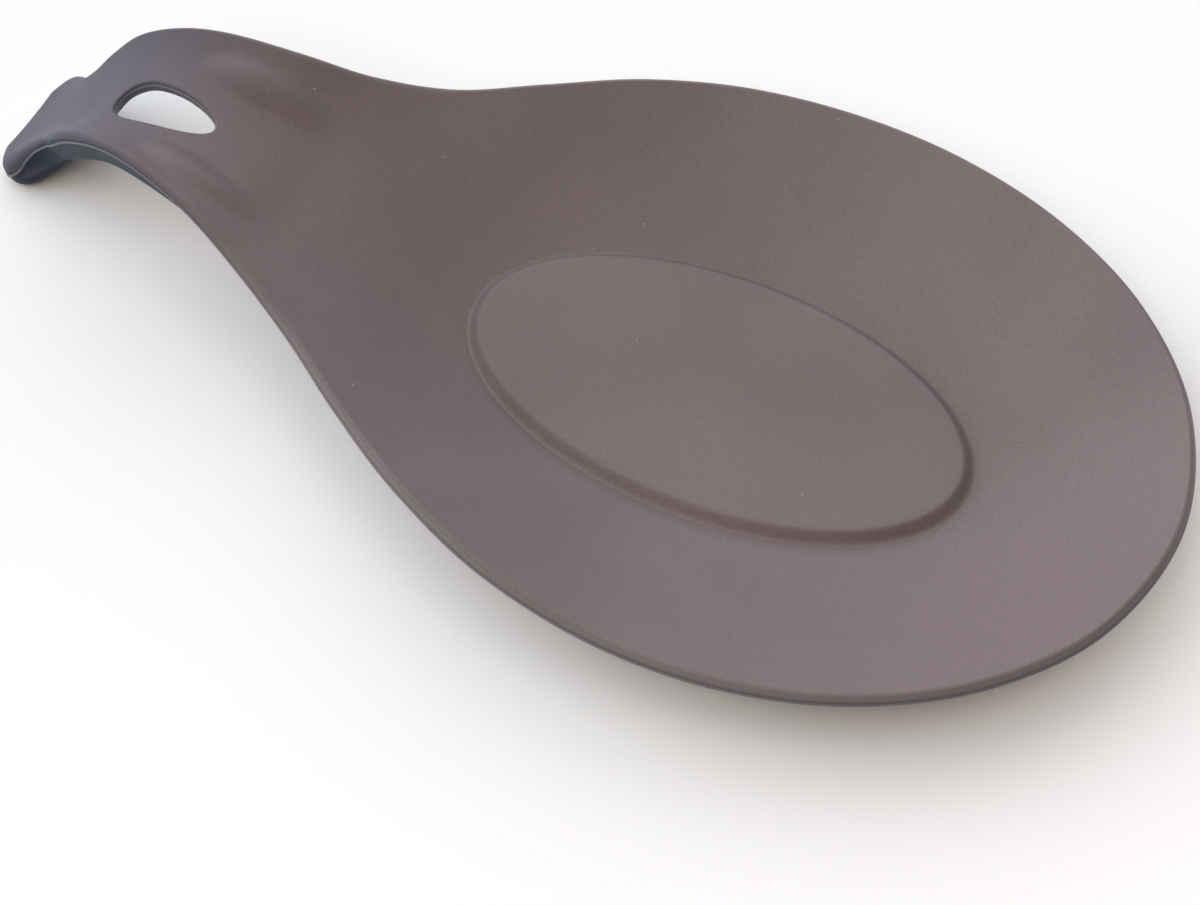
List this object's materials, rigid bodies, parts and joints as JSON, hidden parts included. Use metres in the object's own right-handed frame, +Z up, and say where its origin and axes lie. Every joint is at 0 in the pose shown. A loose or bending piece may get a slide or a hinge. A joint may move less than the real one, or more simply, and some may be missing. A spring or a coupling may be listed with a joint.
{
  "type": "spoon rest",
  "caption": "Moulded silicone spoon rest: shallow oval bowl with a raised oval pad, rising channelled handle with a hanging hole, and a hooked foot.",
  "frame": {"origin": "middle of the flat face under the raised oval, on the table", "axes": "+Z up from the table, +X to the front of the bowl, -X to the hooked foot, +Y to the left when seen from the foot"},
  "size_m": [0.2414, 0.1264, 0.0323],
  "materials": {
    "silicone": "matte moulded silicone rubber, warm taupe grey, fine even grain"
  },
  "bodies": {
    "root": {"silicone_body": "silicone"}
  },
  "joints": []
}
